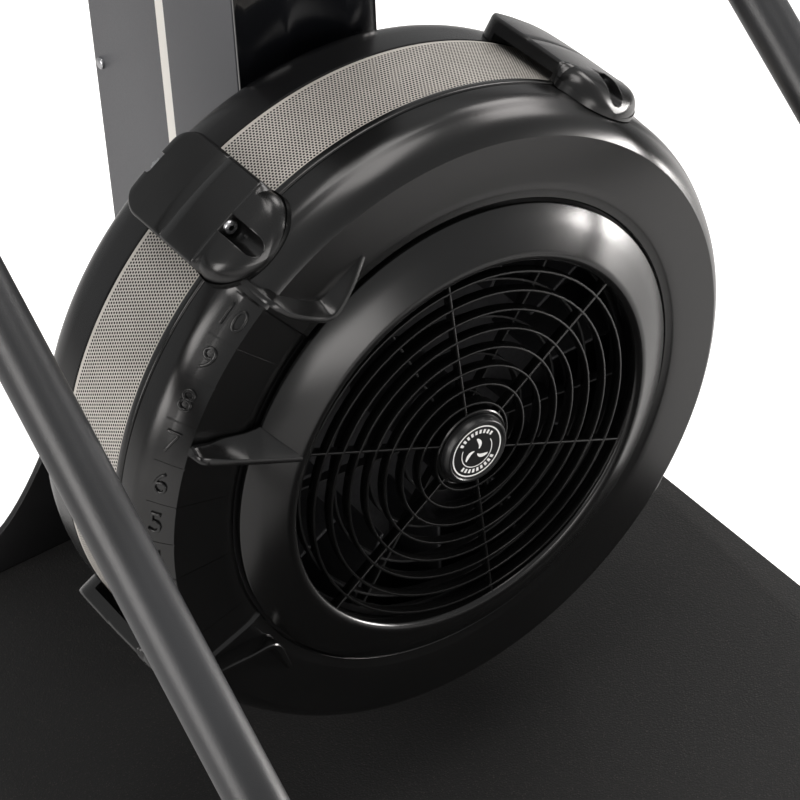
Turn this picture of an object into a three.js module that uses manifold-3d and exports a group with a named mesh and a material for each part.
// Standing pull trainer: a flywheel housing low on the front of a tall mast, two brace tubes and a platform.
// Millimetres. X runs across the machine, the user stands towards -Y, Z is up, the floor is Z = 0.
import * as THREE from "three";
import { ConvexGeometry } from "three/addons/geometries/ConvexGeometry.js";
import { mergeVertices } from "three/addons/utils/BufferGeometryUtils.js";
import Module from "manifold-3d";

const wasm = await Module();
wasm.setup();

// General
const GAP = 0.3; // between pieces that rest on, or seat in, each other
const WEB = 1; // how far joined shapes run into each other
const ROUND = 40; // facets round the housing
const FINE_ROUND = 80; // facets round the clamps, which wrap the housing
const HUB_ROUND = 18; // facets round hubs, bearings and the drum
const SMALL_ROUND = 12; // facets round tubes, pins and wheels
const FULL_TURN = 360;
const LEFT = -1;
const RIGHT = 1;
const SIDES = [["left", LEFT], ["right", RIGHT]];

// Mast
const MAST_HALF_WIDTH = 55;
const MAST_FRONT = 365.8;
const MAST_BACK = 571.8;
const MAST_TOP = 2111.7;
const SHEET = 2.7; // thickness of the side panels and covers
const COLUMN_HALF_WIDTH = MAST_HALF_WIDTH - 10;
const COLUMN_FRONT = MAST_FRONT + 14.2;
const COLUMN_BACK = MAST_BACK - 11.8;
const COLUMN_WALL = 4;
const COLUMN_CORNER = 6;
const COVER_STEP = 2.5; // the front cover's edges lie this far behind its face
const COVER_FACE_HALF_WIDTH = MAST_HALF_WIDTH - 3.5;
const COVER_CHAMFER = 3;
const COVER_LIP = 12;
const FOOT_PLATE_BACK = MAST_BACK + 20.2;
const SOCKET_HEIGHT = 120;
const CAP_ROUND = 14;

// Gusset wings, upright plates behind the deck, bent round to the sides of the mast
const GUSSET_THICKNESS = 6;
const GUSSET_TOP = 308;
const GUSSET_KNEE = [136.1, 143.7];
const GUSSET_BEND = [162.2, 102.2];
const GUSSET_TOE = [182.9, 88.6];
const GUSSET_TIP = [245.7, 51.9];
const GUSSET_FLANGE = 42; // depth of the part that lies along the mast

// Platform
const FRAME_BOTTOM = 10;
const FRAME_TOP = 40;
const FRAME_BAR = 40;
const FRAME_HALF_WIDTH = 304;
const FRAME_FRONT = -658.6;
const FRAME_BACK = 598.6;
const CROSS_BARS = 5;
const SPINE_HALF_WIDTH = 70;
const SPINE_FRONT = 320;
const KEEL_HALF_WIDTH = 20;
const DECK_OVERHANG = 3; // past the frame at the front
const DECK_SIDE_OVERHANG = 4.5;
const DECK_HALF_WIDTH = FRAME_HALF_WIDTH + DECK_SIDE_OVERHANG;
const DECK_FRONT = FRAME_FRONT - DECK_OVERHANG;
const DECK_BACK = FRAME_BACK - 11.7;
const GUSSET_FRONT = DECK_BACK + GAP;
const DECK_CORNER = 12;
const DECK_THICKNESS = 8;
const DECK_CLEARANCE = 3; // round the mast
const MAT_THICKNESS = 3;
const MAT_CLEARANCE = 1; // round the base plates of the brace
const FOOT_INSET = 37;
const FRONT_FOOT_SETBACK = 45;
const REAR_FOOT_SETBACK = 85;
const FOOT_X = FRAME_HALF_WIDTH - FOOT_INSET;
const FOOT_Y = [FRAME_FRONT + FRONT_FOOT_SETBACK, FRAME_BACK - REAR_FOOT_SETBACK];
const FOOT_RADIUS = 26;
const FOOT_TOP_RADIUS = 22;
const DECK_BOTTOM = FRAME_TOP + GAP;
const DECK_TOP = DECK_BOTTOM + DECK_THICKNESS;
const MAT_BOTTOM = DECK_TOP + GAP;
const MAT_TOP = MAT_BOTTOM + MAT_THICKNESS;

// Transport wheels, in forks behind the frame
const WHEEL_RADIUS = 30;
const WHEEL_WIDTH = 24;
const WHEEL_INSET = 47;
const WHEEL_X = FRAME_HALF_WIDTH - WHEEL_INSET;
const WHEEL_CLEARANCE = 3;
const WHEEL_Y = FRAME_BACK + WHEEL_CLEARANCE + WHEEL_RADIUS;
const WHEEL_Z = WHEEL_RADIUS + 4;
const WHEEL_PIN_RADIUS = 5;
const FORK_PLATE = 6;
const FORK_INNER = WHEEL_WIDTH / 2 + 2;
const PIN_HEAD = 4;

// Brace tubes: one up each side of the housing, joined behind the mast
const TUBE_RADIUS = 17.5;
const TUBE_WALL = 2.5;
const BRACE_X = FRAME_HALF_WIDTH - 8.7;
const BRACE_FOOT_Y = -384.3;
const BRACE_FOOT_Z = MAT_TOP;
const BRACE_CROSS_Y = MAST_BACK + 23.1;
const BRACE_ANGLE = 38.07;
const BRACE_BEND = 90;
const BRACE_STUB = 67;
const SPIGOT_LENGTH = 50;
const BEND_STEPS = 6;
const CROSS_STEPS = 2 * BEND_STEPS + 3;
const BASE_THICKNESS = 6;
const BASE_INNER = BRACE_X - 34; // the base plate's edges, across the rail
const BASE_OUTER = BRACE_X + 12;
const BASE_FRONT = BRACE_FOOT_Y - 62;
const BASE_BACK = BRACE_FOOT_Y + 50;
const STRAP_DEPTH = 22.8;
const SADDLE_HALF_WIDTH = 40;
const SADDLE_HALF_HEIGHT = 32;

// Housing, about the flywheel axis. Radii from the axis, Y from the front edges of the damper's fins.
const SHELL_WALL = 3;
const BAND_RADIUS = 242;
const RIM_RADIUS = BAND_RADIUS + 0.3;
const FRONT_RIM_Y = 54;
const CREASE = [BAND_RADIUS - 3.2, 31.6];
const SHOULDER_PULL = [BAND_RADIUS - 8.2, 18.8];
const FACE_OUTER = [BAND_RADIUS - 17.2, 14];
const DIAL_RADIUS = 177.3;
const FACE_INNER = [DIAL_RADIUS + 15.7, 13.2];
const LAND = [DIAL_RADIUS + 7.7, 13.9];
const MOUTH = [DIAL_RADIUS + 2, 14.9];
const SHOULDER_STEPS = 4;
const SECTOR_DEPTH = 2.2; // the numbered sector lies this far below the face
const SECTOR_FROM = 129.5;
const SECTOR_TO = 200.5;
const BEAD_RADIUS = BAND_RADIUS + 1.5;
const HOUSING_CLEARANCE = 51.9; // between the bead and the mat
const AXIS_Z = MAT_TOP + HOUSING_CLEARANCE + BEAD_RADIUS;
const BEAD_INNER = BAND_RADIUS - 6;
const BEAD_FRONT = 55.5;
const BAND_FRONT = 61;
const BAND_BACK = 123;
const BACK_RIM_Y = 124.6;
const BACK_SHOULDER_Y = 142;
const BACK_FACE_Y = 170.5;
const BACK_FACE_RADIUS = BAND_RADIUS - 28;
const GRILLE_Y = MAST_FRONT - GAP - BACK_FACE_Y;

// Damper dial and the fixed guard behind it
const DIAL_EDGE_Y = 12.1;
const LIP_RADIUS = DIAL_RADIUS - 29.8;
const LIP_Y = -2.3;
const THROAT_RADIUS = LIP_RADIUS - 6;
const THROAT_BACK = 10;
const FIN_WIDTH = 1.8;
const FIN_DEPTH = 8;
const DIAL_ARMS = 2;
const GUARD_ARMS = 1;
const SPIRAL_START = -24.37;
const SPIRAL_INNER = 27.97;
const SPIRAL_STEP = 14.19; // radius gained in each half turn
const SPOKES = 6;
const HUB_BORE = 10;
const GUARD_FACE_Y = 19.2;
const GUARD_BACK_Y = 22.2;
const GUARD_OUTER = DIAL_RADIUS + 22.7;
const GUARD_FIN_BACK = 27;
const GUARD_TURN = 18; // the guard's spiral is turned this far from the dial's
const CAP_RADIUS = 26;
const CAP_RIM_RADIUS = 24.4;
const CAP_FRONT = -6.4;
const BADGE_RADIUS = 21.6;

// Lever, moulded on the dial: radius, angle in degrees and Y of each corner
const LEVER_ROOT = LIP_RADIUS + 0.5;
const LEVER_TIP = BAND_RADIUS - 10;
const LEVER_RIDGE = [[LEVER_ROOT, 154.9, -2.6], [LEVER_TIP - 10, 154.6, -2.2], [LEVER_TIP, 154.6, 1]];
const LEVER_EDGE = [
  [DIAL_RADIUS - 0.3, 150.4, 12],
  [LEVER_TIP - 23, 152.8, 11],
  [LEVER_TIP - 10, 153.6, 9],
  [LEVER_TIP - 1, 154, 8],
];
const LEVER_WALL = [[LEVER_ROOT, 156.8, 10], [LEVER_TIP - 14, 156.4, 12], [LEVER_TIP - 2, 155.8, 10]];

// End stops, L-shaped ribs at both ends of the numbered sector. Each crest point is its distance along the
// radius and across it, and its Y; each foot point is where the rib's sloping side ends.
const STOP_RIB = [
  { crest: [BAND_RADIUS - 1.5, 0, 27], foot: [BAND_RADIUS - 4, -1] },
  { crest: [BAND_RADIUS - 7, 0, 9], foot: [BAND_RADIUS - 10, -4] },
  { crest: [BAND_RADIUS - 24, -1.5, 2], foot: [BAND_RADIUS - 27.2, -9.5] },
  { crest: [MOUTH[0] + 22.7, -7, 0], foot: [MOUTH[0] + 23.7, -14] },
  { crest: [MOUTH[0] + 8.2, -13, 1], foot: [MOUTH[0] + 16.2, -19] },
  { crest: [MOUTH[0] + 4.1, -21.8, 2], foot: [MOUTH[0] + 12.2, -28] },
  { crest: [MOUTH[0] + 5.6, -39.3, 5], foot: [MOUTH[0] + 9.6, -42] },
  { crest: [MOUTH[0] + 5.7, -58.3, 11], foot: [MOUTH[0] + 7.2, -58] },
];
const STOP_ANGLE = 128.3;
const SECTOR_MIDDLE = (SECTOR_FROM + SECTOR_TO) / 2;

// Clamps over the rim
const CLAMP_ANGLES = [123.25, 54.25, 209, 318];
const CLAMP_HALF_WIDTH = 34;
const CLAMP_RADIUS = BAND_RADIUS + 16;
const CLAMP_NOSE_Y = 26;
const CLAMP_NOSE_LENGTH = 24;
const CLAMP_BACK = BACK_SHOULDER_Y + 6;
const CLAMP_BACK_CORNER = 20;
const CLAMP_BACK_EDGE = 5;
const BRIDGE_RADIUS = BAND_RADIUS + 6.6;
const SCREW_RADIAL = BAND_RADIUS + 10;
const SCREW_CHANNEL = 6.5;
const SCREW_HEAD_Y = 55.5;
const SCREW_SEAT_Y = 61;
const SCREW_RADIUS = 2.3;
const SCREW_HEAD_RADIUS = 5;
const NUT_NOTCH_HALF = 8;
const NUT_NOTCH_Y = CLAMP_BACK - 5.5;
const NUT_RADIUS = 4.6;
const SCREW_ROUND = 12;

// Flywheel, axle and drum
const WHEEL_OUTER = BAND_RADIUS - 12;
const WHEEL_PLATE_Y = 104;
const WHEEL_FRONT_Y = 42;
const BLADES = 12;
const BLADE_INNER = 95;
const BLADE_THICKNESS = 3;
const HUB_RADIUS = 28;
const AXLE_RADIUS = 10;
const AXLE_FRONT = 32;
const AXLE_BACK = COLUMN_BACK - GRILLE_Y + 6;
const BEARING_RADIUS = 26;
const BEARING_WIDTH = 14;
const CLUTCH_RADIUS = 17;
const DRUM_FRONT = 215;
const DRUM_BACK = 335;
const DRUM_CORE = 30;
const DRUM_FLANGE = 38;

// Cord head on top of the mast
const ARM_SETBACK = 89.2;
const ARM_DEPTH = 50;
const ARM_FRONT = MAST_FRONT + ARM_SETBACK;
const ARM_BACK = ARM_FRONT + ARM_DEPTH;
const ARM_SEAT = 6.3; // height of the arm above the column
const ARM_HEIGHT = 30;
const ARM_BOTTOM = MAST_TOP + ARM_SEAT;
const ARM_TOP = ARM_BOTTOM + ARM_HEIGHT;
const CAP_ROOF = 12;
const CAP_TOP = ARM_TOP + CAP_ROOF;
const ARM_WALL = 3;
const PULLEY_X = 225;
const PULLEY_Y = ARM_FRONT - 30;
const PULLEY_DROP = 6; // the pulleys' axle lies this far below the arm
const PULLEY_Z = ARM_BOTTOM - PULLEY_DROP;
const PULLEY_RADIUS = 28;
const PULLEY_GROOVE = 25;
const PULLEY_WIDTH = 12;
const PULLEY_PIN = 4;
const PULLEY_BOX_RADIUS = 36;
const PULLEY_BOX_HALF = 13;
const PULLEY_ROOM_HALF = 8;
const PULLEY_ROOM_RADIUS = 31;
const PULLEY_MOUTH_Z = PULLEY_Z - PULLEY_BOX_RADIUS;

// Handles, drawn up until the stop ball rests in the mouth of the pulley housing
const HANDLE_Y = PULLEY_Y - PULLEY_GROOVE;
const HANDLE_BALL = 16;
const HANDLE_NECK = 5;
const HANDLE_NECK_LENGTH = 8;
const HANDLE_GRIP = 16;
const HANDLE_WAIST = 14;
const HANDLE_FLARE = 24;
const HANDLE_LENGTH = 172;

// Monitor
const MONITOR_Z = 1500;
const HINGE_Y = MAST_FRONT - 47.8;
const MONITOR_BACK = HINGE_Y - 22;
const MONITOR_FRONT = MONITOR_BACK - 34;
const MONITOR_HALF_WIDTH = 70;
const MONITOR_HALF_HEIGHT = 85;
const MONITOR_CORNER = 12;
const MONITOR_WALL = 3;
const SCREEN_HALF_WIDTH = 57;
const SCREEN_DROP = 24;
const SCREEN_RISE = 68;
const BUTTON_DROP = 54;
const SCREEN_BOTTOM = MONITOR_Z - SCREEN_DROP;
const SCREEN_TOP = MONITOR_Z + SCREEN_RISE;
const HINGE_PIN = 5;
const HINGE_EAR_INNER = 16;
const HINGE_EAR_OUTER = 24;
const BUTTON_X = [-28, 28];
const BUTTON_Z = MONITOR_Z - BUTTON_DROP;
const BUTTON_RADIUS = 8;
const BUTTON_STAND = 3;

// ---- shapes ----

// A solid from a three.js geometry: shared vertices are joined and flat triangles dropped.
function solidOf(geometry) {
  const bare = geometry.clone();
  for (const name of Object.keys(bare.attributes)) {
    if (name !== "position") bare.deleteAttribute(name);
  }
  const merged = mergeVertices(bare, 1e-4);
  const index = merged.index.array;
  const corners = [];
  for (let i = 0; i < index.length; i += 3) {
    const [a, b, c] = index.subarray(i, i + 3);
    if (a !== b && b !== c && c !== a) corners.push(a, b, c);
  }
  const vertProperties = merged.attributes.position.array;
  const triVerts = new Uint32Array(corners);
  return new wasm.Manifold(new wasm.Mesh({ numProp: 3, vertProperties, triVerts }));
}

function geometryOf(solid) {
  const mesh = solid.getMesh();
  const geometry = new THREE.BufferGeometry();
  geometry.setAttribute("position", new THREE.BufferAttribute(mesh.vertProperties, mesh.numProp));
  geometry.setIndex(new THREE.BufferAttribute(mesh.triVerts, 1));
  geometry.computeVertexNormals();
  return geometry;
}

const joined = (solids) => solids.reduce((all, next) => all.add(next));
const radians = THREE.MathUtils.degToRad;

// The two coordinates of a point given by its radius and its angle in degrees.
function polar(radius, degrees) {
  const angle = radians(degrees);
  return [radius * Math.cos(angle), radius * Math.sin(angle)];
}

function box([x0, x1], [y0, y1], [z0, z1]) {
  const geometry = new THREE.BoxGeometry(x1 - x0, y1 - y0, z1 - z0);
  return solidOf(geometry.translate((x0 + x1) / 2, (y0 + y1) / 2, (z0 + z1) / 2));
}

// An interval on one side of the machine, lowest value first.
const onSide = (side, from, to) => (side === RIGHT ? [from, to] : [-to, -from]);

// Spins an outline of [radius, y] points about the Y axis. It closes on itself unless it starts on the axis.
function spunGeometry(outline, facets) {
  const points = outline.map(([radius, y]) => new THREE.Vector2(radius, y));
  if (THREE.ShapeUtils.area(points) < 0) points.reverse();
  if (points[0].x > 0) points.push(points[0].clone());
  return new THREE.LatheGeometry(points, facets);
}

const spun = (outline, facets = ROUND) => solidOf(spunGeometry(outline, facets));
const rod = (radius, from, to) => [[0, from], [radius, from], [radius, to], [0, to]];
const ring = (inner, outer, from, to) => [[inner, from], [outer, from], [outer, to], [inner, to]];

// The same spin about an axis along X or Z, with y counted along that axis, through the given point.
function spunAlongX(outline, y, z, facets = SMALL_ROUND) {
  return solidOf(spunGeometry(outline, facets).rotateZ(-Math.PI / 2).translate(0, y, z));
}

function spunAlongZ(outline, facets = SMALL_ROUND) {
  return solidOf(spunGeometry(outline, facets).rotateX(Math.PI / 2));
}

function extruded(shape, from, to, curveSegments) {
  const options = { depth: to - from, bevelEnabled: false, curveSegments };
  return new THREE.ExtrudeGeometry(shape, options).translate(0, 0, from);
}

// Extrusions of a shape drawn in the plane across X, Y or Z.
function alongX(shape, [from, to], curveSegments = 6) {
  const turn = new THREE.Matrix4().makeBasis(
    new THREE.Vector3(0, 1, 0),
    new THREE.Vector3(0, 0, 1),
    new THREE.Vector3(1, 0, 0),
  );
  return solidOf(extruded(shape, from, to, curveSegments).applyMatrix4(turn));
}

function alongY(shape, [from, to], curveSegments = 6) {
  return solidOf(extruded(shape, -to, -from, curveSegments).rotateX(Math.PI / 2));
}

function alongZ(shape, [from, to], curveSegments = 6) {
  return solidOf(extruded(shape, from, to, curveSegments));
}

const polygon = (points) => new THREE.Shape(points.map(([a, b]) => new THREE.Vector2(a, b)));

function roundedRectangle([a0, a1], [b0, b1], corner) {
  const shape = new THREE.Shape();
  shape.absarc(a1 - corner, b0 + corner, corner, -Math.PI / 2, 0);
  shape.absarc(a1 - corner, b1 - corner, corner, 0, Math.PI / 2);
  shape.absarc(a0 + corner, b1 - corner, corner, Math.PI / 2, Math.PI);
  shape.absarc(a0 + corner, b0 + corner, corner, Math.PI, 1.5 * Math.PI);
  shape.closePath();
  return shape;
}

// The part of the housing between two angles, as a deep slice to intersect with.
function slice(fromDegrees, toDegrees) {
  const reach = 400;
  const steps = 4;
  const points = [[0, 0]];
  for (let i = 0; i <= steps; i += 1) {
    points.push(polar(reach, THREE.MathUtils.lerp(fromDegrees, toDegrees, i / steps)));
  }
  return alongY(polygon(points), [-reach, reach]);
}

// Points along a quadratic curve between two [radius, y] points.
function bow(start, pull, end, steps) {
  const [a, b, c] = [start, pull, end].map(([radius, y]) => new THREE.Vector2(radius, y));
  return new THREE.QuadraticBezierCurve(a, b, c).getPoints(steps).map((point) => [point.x, point.y]);
}

// ---- the scene graph ----

const machine = new THREE.Group();
const housing = new THREE.Group();
housing.position.set(0, GRILLE_Y, AXIS_Z);
machine.add(housing);

const finish = (color, roughness, metalness) => ({ color, roughness, metalness });
const POWDER_COAT = finish(0x2b2b2e, 0.55, 0.2);
const SATIN_BLACK = finish(0x141415, 0.5, 0);
const GLOSS_BLACK = finish(0x0a0b0e, 0.15, 0);
const CHARCOAL = finish(0x5d5b5e, 0.5, 0.1);
const SHELL_GREY = finish(0x77746f, 0.5, 0);
const SILVER_MESH = finish(0xb9b5ae, 0.35, 0.9);
const STEEL = finish(0xb4b6b8, 0.3, 1);
const CAST_GREY = finish(0x55565a, 0.5, 0.8);
const RUBBER = finish(0x0e0e0e, 0.9, 0);
const GLASS_BLACK = finish(0x050607, 0.05, 0);

function part(name, solid, look, parent = machine) {
  const mesh = new THREE.Mesh(geometryOf(solid), new THREE.MeshStandardMaterial(look));
  mesh.name = name;
  parent.add(mesh);
  return mesh;
}

// ---- platform ----

// Welded frame: rails, cross bars, a keel, a wide spine under the mast and forks for the wheels.
function platformFrame() {
  const height = [FRAME_BOTTOM, FRAME_TOP];
  const inner = FRAME_HALF_WIDTH - FRAME_BAR;
  const length = [FRAME_FRONT, FRAME_BACK];
  const bars = SIDES.map(([, side]) => box(onSide(side, inner, FRAME_HALF_WIDTH), length, height));
  const pitch = (FRAME_BACK - FRAME_FRONT - FRAME_BAR) / (CROSS_BARS + 1);
  for (let i = 0; i <= CROSS_BARS + 1; i += 1) {
    const y = FRAME_FRONT + i * pitch;
    bars.push(box([-inner - WEB, inner + WEB], [y, y + FRAME_BAR], height));
  }
  bars.push(box([-KEEL_HALF_WIDTH, KEEL_HALF_WIDTH], [FRAME_FRONT + WEB, FRAME_BACK - WEB], height));
  bars.push(box([-SPINE_HALF_WIDTH, SPINE_HALF_WIDTH], [SPINE_FRONT, FRAME_BACK - WEB], height));
  const bores = [];
  for (const [, side] of SIDES) {
    const centre = side * WHEEL_X;
    for (const hand of [LEFT, RIGHT]) {
      const near = FORK_INNER;
      const plate = onSide(hand, near, near + FORK_PLATE).map((x) => x + centre);
      const cheek = new THREE.Shape();
      cheek.moveTo(FRAME_BACK - WEB, FRAME_BOTTOM + 4);
      cheek.absarc(WHEEL_Y, WHEEL_Z - 4, 16, -Math.PI / 2, Math.PI / 2 - 1);
      cheek.lineTo(WHEEL_Y, FRAME_TOP);
      cheek.lineTo(FRAME_BACK - WEB, FRAME_TOP);
      bars.push(alongX(cheek, plate));
    }
    const reach = FORK_INNER + FORK_PLATE + WEB;
    bores.push(spunAlongX(rod(WHEEL_PIN_RADIUS + GAP, centre - reach, centre + reach), WHEEL_Y, WHEEL_Z));
  }
  return joined(bars).subtract(joined(bores));
}

// Deck and mat share one outline, notched for the foot of the mast.
function deckOutline() {
  return roundedRectangle([-DECK_HALF_WIDTH, DECK_HALF_WIDTH], [DECK_FRONT, DECK_BACK], DECK_CORNER);
}

function deckSlab(bottom, thickness) {
  const across = MAST_HALF_WIDTH + DECK_CLEARANCE;
  const notch = box([-across, across], [MAST_FRONT - 4 * DECK_CLEARANCE, DECK_BACK + WEB], [0, 2 * MAT_TOP]);
  return alongZ(deckOutline(), [bottom, bottom + thickness]).subtract(notch);
}

// The mat is cut out round the base plates of the brace, which lie on the deck.
function mat() {
  const length = [BASE_FRONT - MAT_CLEARANCE, BASE_BACK + MAT_CLEARANCE];
  const height = [MAT_BOTTOM - WEB, MAT_TOP + WEB];
  const cuts = SIDES.map(([, side]) => {
    return box(onSide(side, BASE_INNER - MAT_CLEARANCE, DECK_HALF_WIDTH + WEB), length, height);
  });
  return deckSlab(MAT_BOTTOM, MAT_THICKNESS).subtract(joined(cuts));
}

part("platform_frame", platformFrame(), POWDER_COAT);
part("platform_deck", deckSlab(DECK_BOTTOM, DECK_THICKNESS), SATIN_BLACK);
part("platform_mat", mat(), RUBBER);

const footHeight = FRAME_BOTTOM - GAP;
const footShape = new THREE.CylinderGeometry(FOOT_TOP_RADIUS, FOOT_RADIUS, footHeight, SMALL_ROUND);
const footSolid = solidOf(footShape.rotateX(Math.PI / 2));
for (const [word, side] of SIDES) {
  FOOT_Y.forEach((y, i) => {
    const foot = part(`rubber_foot_${i ? "rear" : "front"}_${word}`, footSolid, RUBBER);
    foot.position.set(side * FOOT_X, y, footHeight / 2);
  });
}

const half = WHEEL_WIDTH / 2;
const wheelOutline = [
  [WHEEL_PIN_RADIUS + GAP, -half],
  [WHEEL_RADIUS - 8, -half],
  [WHEEL_RADIUS - 2, -half + 2],
  [WHEEL_RADIUS, -half + 6],
  [WHEEL_RADIUS, half - 6],
  [WHEEL_RADIUS - 2, half - 2],
  [WHEEL_RADIUS - 8, half],
  [WHEEL_PIN_RADIUS + GAP, half],
];
const forkFace = FORK_INNER + FORK_PLATE + GAP;
const pinOutline = [
  [0, -forkFace - PIN_HEAD],
  [WHEEL_PIN_RADIUS + 3, -forkFace - PIN_HEAD],
  [WHEEL_PIN_RADIUS + 3, -forkFace],
  [WHEEL_PIN_RADIUS, -forkFace],
  [WHEEL_PIN_RADIUS, forkFace],
  [WHEEL_PIN_RADIUS + 3, forkFace],
  [WHEEL_PIN_RADIUS + 3, forkFace + PIN_HEAD],
  [0, forkFace + PIN_HEAD],
];
for (const [word, side] of SIDES) {
  const wheel = part(`transport_wheel_${word}`, spunAlongX(wheelOutline, WHEEL_Y, WHEEL_Z), RUBBER);
  const axle = part(`wheel_axle_${word}`, spunAlongX(pinOutline, WHEEL_Y, WHEEL_Z), STEEL);
  wheel.position.x = side * WHEEL_X;
  axle.position.x = side * WHEEL_X;
}

// ---- mast ----

// Base plate with a hollow socket inside the column.
function mastFoot() {
  const plateTop = DECK_BOTTOM + DECK_THICKNESS;
  const footprint = [-MAST_HALF_WIDTH, MAST_HALF_WIDTH];
  const plate = box(footprint, [MAST_FRONT - 2 * DECK_CLEARANCE, FOOT_PLATE_BACK], [DECK_BOTTOM, plateTop]);
  const inset = COLUMN_WALL + GAP;
  const across = [-COLUMN_HALF_WIDTH + inset, COLUMN_HALF_WIDTH - inset];
  const along = [COLUMN_FRONT + inset, COLUMN_BACK - inset];
  const height = [plateTop - WEB, plateTop + SOCKET_HEIGHT];
  const outer = alongZ(roundedRectangle(across, along, COLUMN_CORNER), height);
  const room = box(across.map((x) => x * 0.86), [along[0] + 6, along[1] - 6], [plateTop, height[1] + WEB]);
  return plate.add(outer.subtract(room));
}

// The hole that the flywheel's bearings take through the mast.
function axleHole(from, to) {
  const bore = spunGeometry(rod(BEARING_RADIUS + GAP, from, to), HUB_ROUND);
  return solidOf(bore.translate(0, 0, AXIS_Z));
}

// Square steel column with seats for the two bearings.
function mastColumn() {
  const across = [-COLUMN_HALF_WIDTH, COLUMN_HALF_WIDTH];
  const height = [DECK_TOP + GAP, MAST_TOP];
  const outer = alongZ(roundedRectangle(across, [COLUMN_FRONT, COLUMN_BACK], COLUMN_CORNER), height);
  const inside = COLUMN_HALF_WIDTH - COLUMN_WALL;
  const bore = box(
    [-inside, inside],
    [COLUMN_FRONT + COLUMN_WALL, COLUMN_BACK - COLUMN_WALL],
    [height[0] - WEB, height[1] + WEB],
  );
  const seats = axleHole(MAST_FRONT, MAST_BACK);
  return outer.subtract(bore).subtract(seats);
}

// Gloss front cover: a raised face with chamfered edges, lower shoulders, lips and a hole for the axle.
function mastFrontCover() {
  const w = MAST_HALF_WIDTH - GAP;
  const f = COVER_FACE_HALF_WIDTH;
  const back = MAST_FRONT + COVER_STEP + SHEET;
  const lipInner = COLUMN_HALF_WIDTH + GAP;
  const lipOuter = MAST_HALF_WIDTH - SHEET - GAP;
  const section = [
    [-f + COVER_CHAMFER, MAST_FRONT],
    [f - COVER_CHAMFER, MAST_FRONT],
    [f, MAST_FRONT + COVER_STEP],
    [w, MAST_FRONT + COVER_STEP],
    [w, back],
    [lipOuter, back],
    [lipOuter, back + COVER_LIP],
    [lipInner, back + COVER_LIP],
    [lipInner, back],
    [-lipInner, back],
    [-lipInner, back + COVER_LIP],
    [-lipOuter, back + COVER_LIP],
    [-lipOuter, back],
    [-w, back],
    [-w, MAST_FRONT + COVER_STEP],
    [-f, MAST_FRONT + COVER_STEP],
  ];
  const panel = alongZ(polygon(section), [DECK_TOP + GAP, MAST_TOP]);
  return panel.subtract(axleHole(MAST_FRONT - WEB, COLUMN_FRONT));
}

// Rear cover: a plate with lips between the column and the side panels.
function mastRearCover() {
  const w = MAST_HALF_WIDTH - SHEET - GAP;
  const lipInner = COLUMN_HALF_WIDTH + GAP;
  const height = [DECK_TOP + GAP, MAST_TOP];
  const plate = box([-w, w], [MAST_BACK - SHEET, MAST_BACK], height);
  const lipDepth = [MAST_BACK - COVER_LIP, MAST_BACK - WEB];
  const lips = SIDES.map(([, side]) => box(onSide(side, lipInner, w), lipDepth, height));
  return joined([plate, ...lips]);
}

part("mast_foot", mastFoot(), POWDER_COAT);
part("mast_column", mastColumn(), POWDER_COAT);
part("mast_front_cover", mastFrontCover(), GLOSS_BLACK);
part("mast_rear_cover", mastRearCover(), SATIN_BLACK);
for (const [word, side] of SIDES) {
  const thickness = onSide(side, MAST_HALF_WIDTH - SHEET, MAST_HALF_WIDTH);
  const depth = [MAST_FRONT + COVER_STEP + SHEET + GAP, MAST_BACK];
  part(`mast_panel_${word}`, box(thickness, depth, [DECK_TOP + GAP, MAST_TOP]), CHARCOAL);
}

// Gusset wing: a straight slope, a bent knee and a long low toe, with a flange along the mast's side.
function gusset(side) {
  const root = MAST_HALF_WIDTH + GAP;
  const shape = new THREE.Shape();
  shape.moveTo(side * root, DECK_BOTTOM);
  shape.lineTo(side * root, GUSSET_TOP);
  shape.lineTo(side * GUSSET_KNEE[0], GUSSET_KNEE[1]);
  shape.quadraticCurveTo(side * GUSSET_BEND[0], GUSSET_BEND[1], side * GUSSET_TOE[0], GUSSET_TOE[1]);
  shape.lineTo(side * GUSSET_TIP[0], GUSSET_TIP[1]);
  shape.lineTo(side * GUSSET_TIP[0], DECK_BOTTOM);
  const flange = box(
    onSide(side, root, root + GUSSET_THICKNESS),
    [GUSSET_FRONT - GUSSET_FLANGE, GUSSET_FRONT + WEB],
    [MAT_TOP + GAP, GUSSET_TOP - GUSSET_THICKNESS],
  );
  return alongY(shape, [GUSSET_FRONT, GUSSET_FRONT + GUSSET_THICKNESS]).add(flange);
}
for (const [word, side] of SIDES) part(`gusset_${word}`, gusset(side), POWDER_COAT);

// ---- brace ----

const braceLength = (BRACE_CROSS_Y - BRACE_FOOT_Y) / Math.cos(radians(BRACE_ANGLE));
const braceCrossZ = BRACE_FOOT_Z + braceLength * Math.sin(radians(BRACE_ANGLE));
const bendStart = braceLength - BRACE_BEND;
const legEnd = bendStart - BRACE_STUB;

// Leans a geometry drawn along Y to the slope of the brace tubes.
const leaned = (geometry) => geometry.rotateX(radians(BRACE_ANGLE)).translate(0, BRACE_FOOT_Y, BRACE_FOOT_Z);

// A leg is cut flat above the deck and welded to a base plate over the frame's side rail.
function braceLeg(side) {
  const outline = ring(TUBE_RADIUS - TUBE_WALL, TUBE_RADIUS, -3 * TUBE_RADIUS, legEnd);
  const tube = solidOf(leaned(spunGeometry(outline, SMALL_ROUND).translate(side * BRACE_X, 0, 0)));
  const seat = DECK_TOP + GAP;
  const weld = seat + BASE_THICKNESS - WEB;
  const below = box([-BRACE_X * 2, BRACE_X * 2], [DECK_FRONT, BRACE_CROSS_Y], [-BRACE_X, weld]);
  const base = box(onSide(side, BASE_INNER, BASE_OUTER), [BASE_FRONT, BASE_BACK], [seat, seat + BASE_THICKNESS]);
  return tube.subtract(below).add(base);
}

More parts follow.
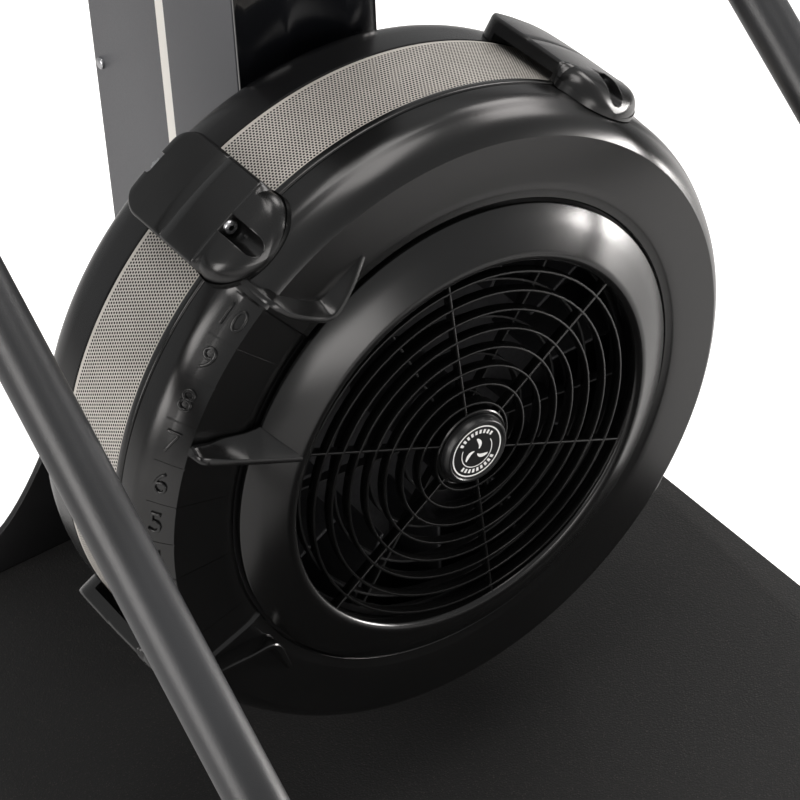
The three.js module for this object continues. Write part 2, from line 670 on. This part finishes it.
// The cross tube's centre line: stub, bend, straight run, bend, stub. Each bend takes BEND_STEPS equal steps
// and each straight takes one.
class CrossRoute extends THREE.Curve {
  getUtoTmapping(u) {
    return u;
  }

  getPoint(t, target = new THREE.Vector3()) {
    const fromMiddle = (t - 0.5) * CROSS_STEPS;
    const side = Math.sign(fromMiddle) || RIGHT;
    const step = Math.abs(fromMiddle) - 0.5;
    const runHalf = BRACE_X - BRACE_BEND;
    if (step <= 0) return target.set(2 * fromMiddle * runHalf, braceLength, 0);
    if (step >= BEND_STEPS) {
      const along = THREE.MathUtils.lerp(bendStart, legEnd + GAP, step - BEND_STEPS);
      return target.set(side * BRACE_X, along, 0);
    }
    const [x, y] = polar(BRACE_BEND, 90 * (1 - step / BEND_STEPS));
    return target.set(side * (runHalf + x), bendStart + y, 0);
  }
}

// The cross tube, with spigots welded in that go into the legs.
function braceCross() {
  const inner = TUBE_RADIUS - TUBE_WALL;
  const section = new THREE.Shape().absarc(0, 0, TUBE_RADIUS, 0, 2 * Math.PI);
  section.holes.push(new THREE.Path().absarc(0, 0, inner, 0, 2 * Math.PI));
  const bent = { steps: CROSS_STEPS, curveSegments: SMALL_ROUND / 2, extrudePath: new CrossRoute() };
  const pieces = [solidOf(leaned(new THREE.ExtrudeGeometry(section, bent)))];
  const spigot = [
    [inner - TUBE_WALL, legEnd - SPIGOT_LENGTH],
    [inner - GAP, legEnd - SPIGOT_LENGTH],
    [inner - GAP, legEnd + WEB],
    [inner + WEB, legEnd + 2 * WEB],
    [inner + WEB, legEnd + TUBE_RADIUS],
    [inner - TUBE_WALL, legEnd + TUBE_RADIUS],
  ];
  for (const [, side] of SIDES) {
    pieces.push(solidOf(leaned(spunGeometry(spigot, SMALL_ROUND).translate(side * BRACE_X, 0, 0))));
  }
  return joined(pieces);
}

// The saddle carries the cross tube on the mast, and a strap holds it there.
function saddleBlock(from, to) {
  const height = [braceCrossZ - SADDLE_HALF_HEIGHT, braceCrossZ + SADDLE_HALF_HEIGHT];
  const across = SADDLE_HALF_WIDTH + WEB;
  const seat = spunAlongX(rod(TUBE_RADIUS + GAP, -across, across), BRACE_CROSS_Y, braceCrossZ, HUB_ROUND);
  return box([-SADDLE_HALF_WIDTH, SADDLE_HALF_WIDTH], [from, to], height).subtract(seat);
}

for (const [word, side] of SIDES) part(`brace_leg_${word}`, braceLeg(side), POWDER_COAT);
part("brace_cross_tube", braceCross(), POWDER_COAT);
part("brace_saddle", saddleBlock(MAST_BACK + GAP, BRACE_CROSS_Y - GAP), POWDER_COAT);
part("brace_strap", saddleBlock(BRACE_CROSS_Y + GAP, BRACE_CROSS_Y + STRAP_DEPTH), POWDER_COAT);

// ---- housing shells ----

// The front shell's outside from the rim to the mouth, sunk by the given depth in the numbered sector.
function frontOutside(sunk) {
  return [
    [RIM_RADIUS, FRONT_RIM_Y],
    ...bow(
      [CREASE[0] - 0.8 * sunk, CREASE[1] + 1.2 * sunk],
      [SHOULDER_PULL[0] - 0.7 * sunk, SHOULDER_PULL[1] + 0.8 * sunk],
      [FACE_OUTER[0], FACE_OUTER[1] + sunk],
      SHOULDER_STEPS,
    ),
    [FACE_INNER[0], FACE_INNER[1] + sunk],
    [LAND[0] + 2, LAND[1] + sunk - 0.4],
    LAND,
    MOUTH,
  ];
}

function frontInside(sunk) {
  return [
    [MOUTH[0], MOUTH[1] + SHELL_WALL - GAP],
    [FACE_INNER[0], FACE_INNER[1] + SHELL_WALL + sunk],
    ...bow(
      [FACE_OUTER[0] - 1, FACE_OUTER[1] + SHELL_WALL + sunk],
      [SHOULDER_PULL[0] - SHELL_WALL, SHOULDER_PULL[1] + 1.5 + sunk],
      [CREASE[0] - SHELL_WALL - 0.8 * sunk, CREASE[1] + 1 + 1.2 * sunk],
      3,
    ),
    [RIM_RADIUS - SHELL_WALL, FRONT_RIM_Y],
  ];
}

// One end stop, a rib with a steep wall towards the sector: hand is 1 at the sector's upper end and -1 at the
// lower.
function endStop(angle, hand) {
  const base = FACE_OUTER[1] + SHELL_WALL;
  const place = (along, across, y) => {
    const turned = THREE.MathUtils.radToDeg(Math.atan2(hand * across, along));
    const [x, z] = polar(Math.hypot(along, across), angle + turned);
    return new THREE.Vector3(x, y, z);
  };
  const corners = STOP_RIB.map(({ crest, foot }) => {
    const root = Math.max(base, crest[2] + WEB);
    return [place(...crest), place(crest[0], crest[1], root), place(...foot, root)];
  });
  const stretches = corners.slice(1).map((next, i) => new ConvexGeometry([...corners[i], ...next]));
  return joined(stretches.map(solidOf));
}

function frontShell() {
  const plain = spun([...frontOutside(0), ...frontInside(0)]);
  const sunk = spun([...frontOutside(SECTOR_DEPTH), ...frontInside(SECTOR_DEPTH)]);
  const sector = slice(SECTOR_FROM, SECTOR_TO);
  const stops = [endStop(STOP_ANGLE, 1), endStop(2 * SECTOR_MIDDLE - STOP_ANGLE, -1)];
  return joined([plain.subtract(sector), sunk.intersect(slice(SECTOR_FROM - 1, SECTOR_TO + 1)), ...stops]);
}

function backShell() {
  const wall = SHELL_WALL;
  const outside = [
    [BAND_RADIUS - 2, BAND_BACK + GAP],
    [BAND_RADIUS - 2, BACK_RIM_Y],
    [BAND_RADIUS, BACK_RIM_Y],
    ...bow(
      [BAND_RADIUS, BACK_SHOULDER_Y],
      [BAND_RADIUS - 2, BACK_FACE_Y],
      [BACK_FACE_RADIUS, BACK_FACE_Y],
      3,
    ),
  ];
  const inside = bow(
    [BACK_FACE_RADIUS, BACK_FACE_Y - wall],
    [BAND_RADIUS - 2 - wall, BACK_FACE_Y - wall],
    [BAND_RADIUS - 2 - wall, BACK_SHOULDER_Y],
    2,
  );
  const hole = BEARING_RADIUS + GAP;
  return spun([
    ...outside,
    [hole, BACK_FACE_Y],
    [hole, BACK_FACE_Y - wall],
    ...inside,
    [BAND_RADIUS - 2 - wall, BAND_BACK + GAP],
  ]);
}

const beadOutline = [
  [BEAD_INNER, FRONT_RIM_Y + GAP],
  [BEAD_RADIUS - 2, FRONT_RIM_Y + GAP],
  [BEAD_RADIUS, BEAD_FRONT],
  [BEAD_RADIUS, BAND_FRONT - GAP],
  [BEAD_INNER, BAND_FRONT - GAP],
];

part("front_shell", frontShell(), SHELL_GREY, housing);
part("back_shell", backShell(), SATIN_BLACK, housing);
part("front_bead", spun(beadOutline), SHELL_GREY, housing);
part("mesh_band", spun(ring(BAND_RADIUS - 1, BAND_RADIUS, BAND_FRONT, BAND_BACK)), SILVER_MESH, housing);

// ---- damper dial and guard ----

// One arm of the spiral grille, a ribbon from the hub ring out to the given radius.
function spiralArm(startDegrees, outerRadius, [from, to], stepDegrees) {
  const halfTurns = (outerRadius - SPIRAL_INNER) / SPIRAL_STEP;
  const sweep = halfTurns * (FULL_TURN / 2);
  const steps = Math.round(sweep / stepDegrees);
  const edge = (offset) => {
    const points = [];
    for (let i = 0; i <= steps; i += 1) {
      const done = i / steps;
      const radius = SPIRAL_INNER + SPIRAL_STEP * halfTurns * done + offset;
      points.push(polar(radius, startDegrees + sweep * done));
    }
    return points;
  };
  return alongY(polygon([...edge(FIN_WIDTH / 2), ...edge(-FIN_WIDTH / 2).reverse()]), [from, to]);
}

function spokes(startDegrees, innerRadius, outerRadius, [from, to]) {
  const bars = [];
  for (let i = 0; i < SPOKES; i += 1) {
    const bar = new THREE.BoxGeometry(outerRadius - innerRadius, to - from, FIN_WIDTH);
    bar.translate((innerRadius + outerRadius) / 2, (from + to) / 2, 0);
    bars.push(solidOf(bar.rotateY(-radians(startDegrees + (i * FULL_TURN) / SPOKES))));
  }
  return joined(bars);
}

function grille(armCount, startDegrees, outerRadius, depth, stepDegrees) {
  const arms = [];
  for (let i = 0; i < armCount; i += 1) {
    arms.push(spiralArm(startDegrees + (i * FULL_TURN) / armCount, outerRadius, depth, stepDegrees));
  }
  return joined(arms).add(spokes(startDegrees, SPIRAL_INNER, outerRadius, depth));
}

const corner = ([radius, degrees, y]) => {
  const [x, z] = polar(radius, degrees);
  return new THREE.Vector3(x, y, z);
};

// The dial: spiral grille, raised lip, sloping skirt and the lever that turns it, in one moulding.
function damperDial() {
  const skirt = [
    [DIAL_RADIUS, DIAL_EDGE_Y],
    [LIP_RADIUS + 3, LIP_Y + 0.7],
    [LIP_RADIUS, LIP_Y],
    [LIP_RADIUS - 4, LIP_Y + 0.8],
    [THROAT_RADIUS, 1],
    [THROAT_RADIUS, THROAT_BACK],
    [THROAT_RADIUS + 2.5, THROAT_BACK],
    [THROAT_RADIUS + 2.5, 2.5],
    [LIP_RADIUS + 2, 1.5],
    [DIAL_RADIUS - 3, DIAL_EDGE_Y + 2.5],
    [DIAL_RADIUS, DIAL_EDGE_Y + 2.5],
  ];
  const hub = ring(HUB_BORE + GAP, SPIRAL_INNER + FIN_WIDTH / 2, 0, FIN_DEPTH);
  const lever = solidOf(new ConvexGeometry([...LEVER_RIDGE, ...LEVER_EDGE, ...LEVER_WALL].map(corner)));
  const fins = grille(DIAL_ARMS, SPIRAL_START, THROAT_RADIUS + WEB, [0, FIN_DEPTH], 20);
  return joined([spun(skirt), spun(hub, HUB_ROUND), fins, lever]);
}

// The guard: a second grille with a mounting ring behind the shell and a pivot for the dial.
function innerGuard() {
  const plate = ring(THROAT_RADIUS, GUARD_OUTER, GUARD_FACE_Y, GUARD_BACK_Y);
  const pivot = [
    [0, 1],
    [HUB_BORE, 1],
    [HUB_BORE, FIN_DEPTH + GAP + 2],
    [SPIRAL_INNER + WEB, FIN_DEPTH + GAP + 2],
    [SPIRAL_INNER + WEB, GUARD_FIN_BACK],
    [0, GUARD_FIN_BACK],
  ];
  const depth = [GUARD_FACE_Y, GUARD_FIN_BACK];
  const fins = grille(GUARD_ARMS, SPIRAL_START + GUARD_TURN, THROAT_RADIUS + WEB, depth, 24);
  return joined([spun(plate), spun(pivot, HUB_ROUND), fins]);
}

const hubCapOutline = [
  [0, -GAP],
  [CAP_RADIUS, -GAP],
  [CAP_RADIUS - 0.4, -3],
  [CAP_RIM_RADIUS, CAP_FRONT + 1],
  [CAP_RIM_RADIUS - 1, CAP_FRONT],
  [BADGE_RADIUS + 0.6, CAP_FRONT],
  [BADGE_RADIUS, CAP_FRONT + 0.9],
  [0, CAP_FRONT + 0.9],
];

part("damper_dial", damperDial(), SATIN_BLACK, housing);
part("inner_guard", innerGuard(), SATIN_BLACK, housing);
part("hub_cap", spun(hubCapOutline, HUB_ROUND), SATIN_BLACK, housing);

// ---- flywheel, axle, bearings and drum ----

// Fan flywheel: a back plate with a rim, a hub and radial blades.
function flywheel() {
  const body = [
    [AXLE_RADIUS + GAP, WHEEL_FRONT_Y],
    [HUB_RADIUS, WHEEL_FRONT_Y],
    [HUB_RADIUS, WHEEL_PLATE_Y],
    [WHEEL_OUTER - 8, WHEEL_PLATE_Y],
    [WHEEL_OUTER - 8, WHEEL_PLATE_Y - 8],
    [WHEEL_OUTER, WHEEL_PLATE_Y - 8],
    [WHEEL_OUTER, WHEEL_PLATE_Y + 8],
    [AXLE_RADIUS + GAP, WHEEL_PLATE_Y + 8],
  ];
  const blades = [];
  const length = WHEEL_OUTER - 4 - BLADE_INNER;
  const depth = WHEEL_PLATE_Y + WEB - WHEEL_FRONT_Y;
  for (let i = 0; i < BLADES; i += 1) {
    const blade = new THREE.BoxGeometry(length, depth, BLADE_THICKNESS);
    blade.translate(BLADE_INNER + length / 2, WHEEL_FRONT_Y + depth / 2, 0);
    blades.push(solidOf(blade.rotateY((i * 2 * Math.PI) / BLADES)));
  }
  return joined([spun(body), ...blades]);
}

const axleOutline = [
  [0, AXLE_FRONT],
  [AXLE_RADIUS + 6, AXLE_FRONT],
  [AXLE_RADIUS + 6, WHEEL_FRONT_Y - GAP],
  [AXLE_RADIUS, WHEEL_FRONT_Y - GAP],
  [AXLE_RADIUS, AXLE_BACK],
  [0, AXLE_BACK],
];
const columnFront = COLUMN_FRONT - GRILLE_Y;
const columnBack = COLUMN_BACK - GRILLE_Y;

function bearing(centre) {
  const halfWidth = BEARING_WIDTH / 2;
  return spun(ring(AXLE_RADIUS + GAP, BEARING_RADIUS, centre - halfWidth, centre + halfWidth), HUB_ROUND);
}

const clutchOutline = ring(AXLE_RADIUS + GAP, CLUTCH_RADIUS, DRUM_FRONT + 20, DRUM_BACK - 20);
const drumOutline = [
  [CLUTCH_RADIUS + GAP, DRUM_FRONT],
  [DRUM_FLANGE, DRUM_FRONT],
  [DRUM_FLANGE, DRUM_FRONT + 5],
  [DRUM_CORE, DRUM_FRONT + 5],
  [DRUM_CORE, DRUM_BACK - 5],
  [DRUM_FLANGE, DRUM_BACK - 5],
  [DRUM_FLANGE, DRUM_BACK],
  [CLUTCH_RADIUS + GAP, DRUM_BACK],
];

part("flywheel", flywheel(), CAST_GREY, housing);
part("flywheel_axle", spun(axleOutline, HUB_ROUND), STEEL, housing);
part("front_bearing", bearing(columnFront + COLUMN_WALL / 2), STEEL, housing);
part("rear_bearing", bearing(columnBack - COLUMN_WALL / 2), STEEL, housing);
part("one_way_clutch", spun(clutchOutline, HUB_ROUND), STEEL, housing);
part("cord_drum", spun(drumOutline, HUB_ROUND), CAST_GREY, housing);

// ---- clamps ----

// A clamp drawn at the top of the rim: a bridge with a blunt nose, a screw channel and a notch for the nut.
function clamp() {
  const section = [
    [CREASE[0] - 2, CLAMP_NOSE_Y],
    [CREASE[0] + 2, CLAMP_NOSE_Y],
    ...bow([CREASE[0] + 6, CLAMP_NOSE_Y + 1.5], [CLAMP_RADIUS - 2, CLAMP_NOSE_Y + 6], [CLAMP_RADIUS, 50], 3),
    ...bow(
      [CLAMP_RADIUS, CLAMP_BACK - 2 * CLAMP_BACK_EDGE],
      [CLAMP_RADIUS, CLAMP_BACK],
      [CLAMP_RADIUS - CLAMP_BACK_EDGE, CLAMP_BACK],
      3,
    ),
    [BAND_RADIUS + GAP, CLAMP_BACK],
    [BAND_RADIUS + GAP, BACK_RIM_Y],
    [BRIDGE_RADIUS, BACK_RIM_Y],
    [BRIDGE_RADIUS, BAND_FRONT],
    [BEAD_RADIUS + GAP, BAND_FRONT],
    [BEAD_RADIUS + GAP, FRONT_RIM_Y],
    [RIM_RADIUS + 2 * GAP, FRONT_RIM_Y],
    [CREASE[0] + 2 * GAP, CREASE[1]],
  ];
  const plan = new THREE.Shape();
  const noseBack = CLAMP_NOSE_Y + CLAMP_NOSE_LENGTH;
  plan.absellipse(0, noseBack, CLAMP_HALF_WIDTH, CLAMP_NOSE_LENGTH, Math.PI, 2 * Math.PI);
  const cornerY = CLAMP_BACK - CLAMP_BACK_CORNER;
  const cornerX = CLAMP_HALF_WIDTH - CLAMP_BACK_CORNER;
  plan.absarc(cornerX, cornerY, CLAMP_BACK_CORNER, 0, Math.PI / 2);
  plan.absarc(-cornerX, cornerY, CLAMP_BACK_CORNER, Math.PI / 2, Math.PI);
  const channel = rod(SCREW_CHANNEL, CLAMP_NOSE_Y - WEB, SCREW_SEAT_Y);
  const bore = rod(SCREW_RADIUS + GAP, SCREW_SEAT_Y - WEB, CLAMP_BACK);
  const cuts = [channel, bore].map((outline) =>
    solidOf(spunGeometry(outline, SCREW_ROUND).translate(0, 0, SCREW_RADIAL)),
  );
  const notch = box(
    [-NUT_NOTCH_HALF, NUT_NOTCH_HALF],
    [NUT_NOTCH_Y, CLAMP_BACK + WEB],
    [SCREW_RADIAL - NUT_RADIUS - GAP, CLAMP_RADIUS + WEB],
  );
  const wrap = alongZ(plan, [CREASE[0] - 30, CLAMP_RADIUS + WEB], 3);
  return spun(section, FINE_ROUND).intersect(wrap).subtract(joined([...cuts, notch]));
}

const screwOutline = [
  [0, SCREW_HEAD_Y],
  [SCREW_HEAD_RADIUS, SCREW_HEAD_Y],
  [SCREW_HEAD_RADIUS, SCREW_SEAT_Y - GAP],
  [SCREW_RADIUS, SCREW_SEAT_Y - GAP],
  [SCREW_RADIUS, NUT_NOTCH_Y + GAP],
  [NUT_RADIUS, NUT_NOTCH_Y + GAP],
  [NUT_RADIUS, NUT_NOTCH_Y + 5],
  [0, NUT_NOTCH_Y + 5],
];
const clampSolid = clamp();
const screwSolid = solidOf(spunGeometry(screwOutline, SCREW_ROUND).translate(0, 0, SCREW_RADIAL));
CLAMP_ANGLES.forEach((angle, i) => {
  const turn = radians(90 - angle);
  part(`clamp_${i + 1}`, clampSolid, SHELL_GREY, housing).rotation.y = turn;
  part(`clamp_screw_${i + 1}`, screwSolid, STEEL, housing).rotation.y = turn;
});

// ---- cord head ----

// Cast cap with a tunnel for the cross arm and a well for the cords.
function mastCap() {
  const back = MAST_BACK;
  const outline = roundedRectangle([MAST_FRONT, back], [MAST_TOP + GAP, CAP_TOP], CAP_ROUND);
  const tunnel = box(
    [-MAST_HALF_WIDTH - WEB, MAST_HALF_WIDTH + WEB],
    [ARM_FRONT - GAP, ARM_BACK + GAP],
    [ARM_BOTTOM - GAP, ARM_TOP + GAP],
  );
  const well = box([-30, 30], [ARM_FRONT, ARM_BACK], [MAST_TOP, ARM_BOTTOM]);
  return alongX(outline, [-MAST_HALF_WIDTH, MAST_HALF_WIDTH]).subtract(tunnel).subtract(well);
}

function crossArm() {
  const end = PULLEY_X - PULLEY_BOX_HALF - GAP;
  const outer = box([-end, end], [ARM_FRONT, ARM_BACK], [ARM_BOTTOM, ARM_TOP]);
  const room = box(
    [-end - WEB, end + WEB],
    [ARM_FRONT + ARM_WALL, ARM_BACK - ARM_WALL],
    [ARM_BOTTOM + ARM_WALL, ARM_TOP - ARM_WALL],
  );
  const well = box([-28, 28], [ARM_FRONT + 8, ARM_BACK - 8], [ARM_BOTTOM - WEB, ARM_BOTTOM + 2 * ARM_WALL]);
  return outer.subtract(room).subtract(well);
}

// Pulley housing at the end of the arm, open below where the cord leaves it.
function pulleyHousing() {
  const shape = new THREE.Shape();
  shape.absarc(PULLEY_Y, PULLEY_Z, PULLEY_BOX_RADIUS, Math.PI / 2, Math.PI);
  shape.lineTo(PULLEY_Y - PULLEY_BOX_RADIUS, PULLEY_MOUTH_Z);
  shape.lineTo(PULLEY_Y, PULLEY_MOUTH_Z);
  shape.lineTo(ARM_BACK, PULLEY_Z - 8);
  shape.lineTo(ARM_BACK, PULLEY_Z + PULLEY_BOX_RADIUS);
  const room = new THREE.Shape();
  room.absarc(PULLEY_Y, PULLEY_Z, PULLEY_ROOM_RADIUS, 0, Math.PI);
  room.lineTo(PULLEY_Y - PULLEY_ROOM_RADIUS, PULLEY_Z - 2 * PULLEY_BOX_RADIUS);
  room.lineTo(PULLEY_Y + PULLEY_ROOM_RADIUS, PULLEY_Z - 2 * PULLEY_BOX_RADIUS);
  const reach = PULLEY_BOX_HALF + WEB;
  const pinBore = spunAlongX(rod(PULLEY_PIN + GAP, -reach, reach), PULLEY_Y, PULLEY_Z);
  const body = alongX(shape, [-PULLEY_BOX_HALF, PULLEY_BOX_HALF], 12);
  return body.subtract(alongX(room, [-PULLEY_ROOM_HALF, PULLEY_ROOM_HALF], 8)).subtract(pinBore);
}

const pulleyHalf = PULLEY_WIDTH / 2;
const pulleyOutline = [
  [PULLEY_PIN + GAP, -pulleyHalf],
  [PULLEY_RADIUS, -pulleyHalf],
  [PULLEY_RADIUS, -pulleyHalf + 1.5],
  [PULLEY_GROOVE, -1],
  [PULLEY_GROOVE, 1],
  [PULLEY_RADIUS, pulleyHalf - 1.5],
  [PULLEY_RADIUS, pulleyHalf],
  [PULLEY_PIN + GAP, pulleyHalf],
];

// Handle: stop ball, neck, shaped grip and a flared foot, drawn down from the centre of the ball.
const neckEnd = -HANDLE_BALL - HANDLE_NECK_LENGTH;
const gripTop = neckEnd - HANDLE_GRIP;
const handleOutline = [
  [0, HANDLE_BALL],
  ...[67.5, 45, 22.5, 0, -22.5, -45, -67.5].map((degrees) => polar(HANDLE_BALL, degrees)),
  [HANDLE_NECK, -HANDLE_BALL],
  [HANDLE_NECK, neckEnd],
  ...bow([HANDLE_NECK, neckEnd], [HANDLE_GRIP, neckEnd - 2], [HANDLE_GRIP, gripTop], 3).slice(1),
  ...bow(
    [HANDLE_GRIP, gripTop],
    [HANDLE_WAIST - 3, gripTop - 44],
    [HANDLE_WAIST, 30 - HANDLE_LENGTH],
    4,
  ).slice(1),
  [HANDLE_FLARE, 8 - HANDLE_LENGTH],
  [HANDLE_FLARE, 3 - HANDLE_LENGTH],
  [HANDLE_FLARE - 3, -HANDLE_LENGTH],
  [0, -HANDLE_LENGTH],
];

// Height of the ball's centre: the ball rests against the front edge of the housing's mouth.
const ballToEdge = PULLEY_ROOM_RADIUS - PULLEY_GROOVE;
const handlePivotZ = PULLEY_MOUTH_Z - Math.sqrt((HANDLE_BALL + GAP) ** 2 - ballToEdge ** 2);

part("mast_cap", mastCap(), SATIN_BLACK);
part("cross_arm", crossArm(), POWDER_COAT);
for (const [word, side] of SIDES) {
  const x = side * PULLEY_X;
  part(`pulley_housing_${word}`, pulleyHousing(), SATIN_BLACK).position.x = x;
  part(`pulley_${word}`, spunAlongX(pulleyOutline, PULLEY_Y, PULLEY_Z), SATIN_BLACK).position.x = x;
  const pin = rod(PULLEY_PIN, -PULLEY_BOX_HALF, PULLEY_BOX_HALF);
  part(`pulley_pin_${word}`, spunAlongX(pin, PULLEY_Y, PULLEY_Z, 16), STEEL).position.x = x;
  part(`handle_${word}`, spunAlongZ(handleOutline), RUBBER).position.set(x, HANDLE_Y, handlePivotZ);
}

// ---- monitor ----

// Bracket: a plate on the front cover, an arm and the hinge pin across its end.
function monitorBracket() {
  const plate = box([-30, 30], [MAST_FRONT - GAP - 5, MAST_FRONT - GAP], [MONITOR_Z - 40, MONITOR_Z + 40]);
  const arm = box([-12, 12], [HINGE_Y, MAST_FRONT - 3], [MONITOR_Z - 10, MONITOR_Z + 10]);
  const knuckle = spunAlongX(rod(10, -12, 12), HINGE_Y, MONITOR_Z);
  const pin = spunAlongX(rod(HINGE_PIN, -HINGE_EAR_OUTER, HINGE_EAR_OUTER), HINGE_Y, MONITOR_Z);
  return joined([plate, arm, knuckle, pin]);
}

// Case: a hollow shell with a window for the screen, holes for the buttons and two ears for the hinge.
function monitorCase() {
  const w = MONITOR_HALF_WIDTH;
  const height = [MONITOR_Z - MONITOR_HALF_HEIGHT, MONITOR_Z + MONITOR_HALF_HEIGHT];
  const outer = alongY(roundedRectangle([-w, w], height, MONITOR_CORNER), [MONITOR_FRONT, MONITOR_BACK]);
  const inside = w - MONITOR_WALL;
  const room = box(
    [-inside, inside],
    [MONITOR_FRONT + MONITOR_WALL, MONITOR_BACK - MONITOR_WALL],
    height.map((z) => MONITOR_Z + (z - MONITOR_Z) * (inside / w)),
  );
  const front = [MONITOR_FRONT - WEB, MONITOR_FRONT + MONITOR_WALL + WEB];
  const windowHalf = SCREEN_HALF_WIDTH + GAP;
  const window = box([-windowHalf, windowHalf], front, [SCREEN_BOTTOM - GAP, SCREEN_TOP + GAP]);
  const holes = BUTTON_X.map((x) =>
    solidOf(spunGeometry(rod(BUTTON_RADIUS + GAP, ...front), SMALL_ROUND).translate(x, 0, BUTTON_Z)),
  );
  const ears = SIDES.map(([, side]) => {
    const ear = new THREE.Shape();
    ear.absarc(HINGE_Y, MONITOR_Z, 10, -Math.PI / 2, Math.PI / 2);
    ear.lineTo(MONITOR_BACK - WEB, MONITOR_Z + 16);
    ear.lineTo(MONITOR_BACK - WEB, MONITOR_Z - 16);
    return alongX(ear, onSide(side, HINGE_EAR_INNER, HINGE_EAR_OUTER));
  });
  const reach = HINGE_EAR_OUTER + WEB;
  const pinBore = spunAlongX(rod(HINGE_PIN + GAP, -reach, reach), HINGE_Y, MONITOR_Z);
  return joined([outer.subtract(room), ...ears]).subtract(joined([window, pinBore, ...holes]));
}

part("monitor_bracket", monitorBracket(), SATIN_BLACK);
part("monitor_case", monitorCase(), SATIN_BLACK);
const screenDepth = [MONITOR_FRONT + 0.5, MONITOR_FRONT + MONITOR_WALL];
part(
  "monitor_screen",
  box([-SCREEN_HALF_WIDTH, SCREEN_HALF_WIDTH], screenDepth, [SCREEN_BOTTOM, SCREEN_TOP]),
  GLASS_BLACK,
);
const buttonOutline = [
  [0, MONITOR_FRONT - BUTTON_STAND],
  [BUTTON_RADIUS - 1, MONITOR_FRONT - BUTTON_STAND],
  [BUTTON_RADIUS, MONITOR_FRONT - BUTTON_STAND + 1],
  [BUTTON_RADIUS, MONITOR_FRONT + MONITOR_WALL + GAP],
  [BUTTON_RADIUS + 2, MONITOR_FRONT + MONITOR_WALL + GAP],
  [BUTTON_RADIUS + 2, MONITOR_FRONT + MONITOR_WALL + 2],
  [0, MONITOR_FRONT + MONITOR_WALL + 2],
];
BUTTON_X.forEach((x, i) => {
  part(`button_${i + 1}`, spun(buttonOutline, SMALL_ROUND), RUBBER).position.set(x, 0, BUTTON_Z);
});

export default machine;
